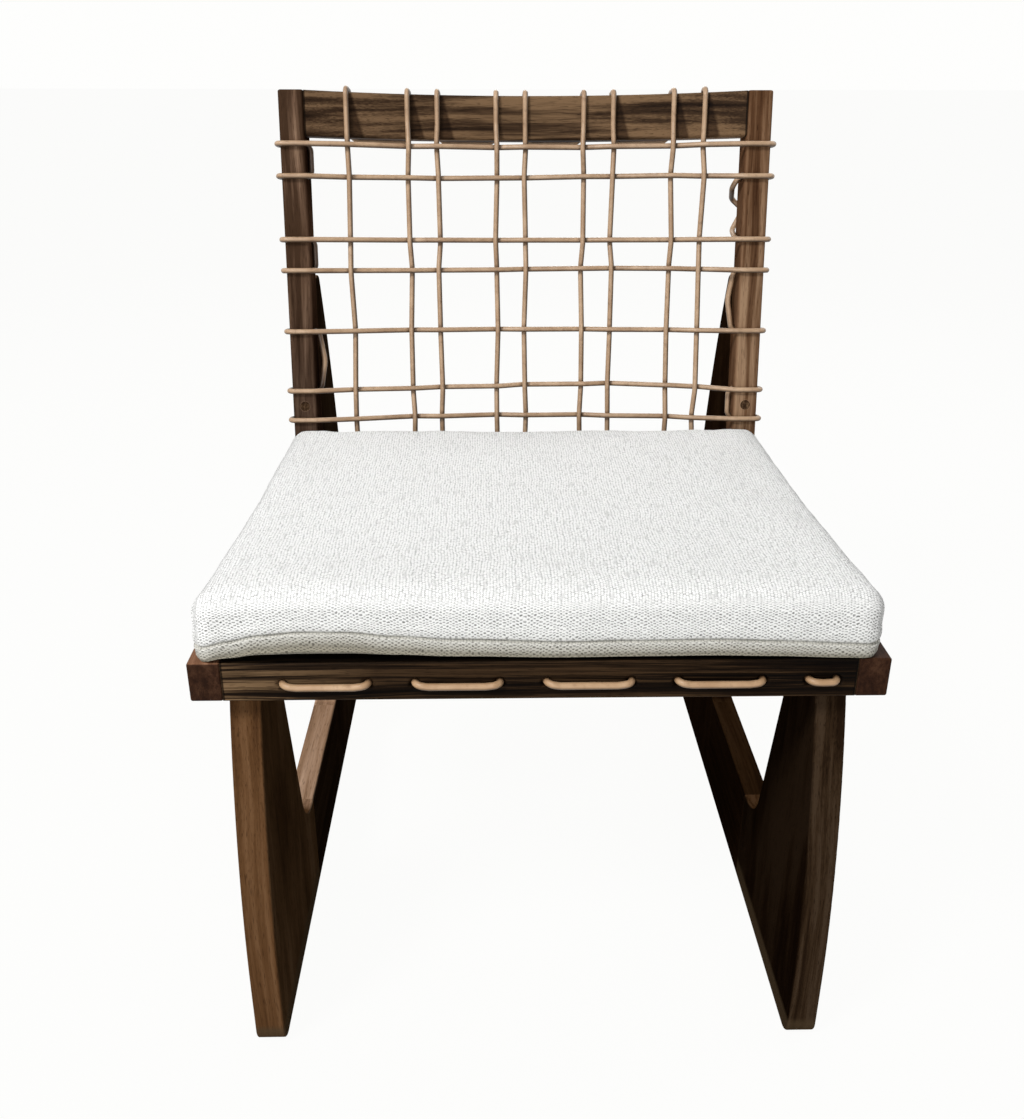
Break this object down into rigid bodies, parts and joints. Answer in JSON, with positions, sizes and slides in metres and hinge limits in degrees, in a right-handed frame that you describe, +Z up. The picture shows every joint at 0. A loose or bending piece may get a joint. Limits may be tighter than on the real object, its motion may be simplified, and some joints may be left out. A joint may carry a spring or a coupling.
{
  "type": "wooden lounge chair",
  "caption": "Low wooden lounge chair with sled side frames, a leaning curved back laced with leather cord, a laced seat frame and a loose woven seat cushion.",
  "frame": {"origin": "on the floor, under the middle of the chair's footprint", "axes": "+Z up, -Y to the front of the chair, +X to the right as one faces the chair"},
  "size_m": [0.6, 0.664, 0.846],
  "materials": {
    "dark_wood": "oiled",
    "dowel_wood": "raw",
    "screw_steel": "plain",
    "leather_cord": "natural tan",
    "cushion_cloth": "woven",
    "cushion_filling": "foam"
  },
  "bodies": {
    "frame": {"side_rail_left": "dark_wood", "side_rail_right": "dark_wood", "front_rail": "dark_wood", "rear_rail": "dark_wood", "front_leg_left": "dark_wood", "front_leg_right": "dark_wood", "runner_left": "dark_wood", "runner_right": "dark_wood", "rear_leg_left": "dark_wood", "rear_leg_right": "dark_wood", "back_stile_left": "dark_wood", "back_stile_right": "dark_wood", "back_top_rail": "dark_wood", "back_low_rail": "dark_wood", "stile_plugs": "dark_wood", "seat_dowels": "dowel_wood", "runner_dowels": "dowel_wood", "back_dowels": "dowel_wood", "frame_screws": "screw_steel", "stile_screws": "screw_steel", "back_column_cord": "leather_cord", "back_row_cord": "leather_cord", "seat_cord": "leather_cord"},
    "cushion": {"cushion_cover": "cushion_cloth", "cushion_foam": "cushion_filling"}
  },
  "joints": [
    {"name": "cushion_lift", "type": "slide", "parent": "frame", "child": "cushion", "axis": [0, -0.5, 0.866], "range_m": [0, 0.5]}
  ]
}
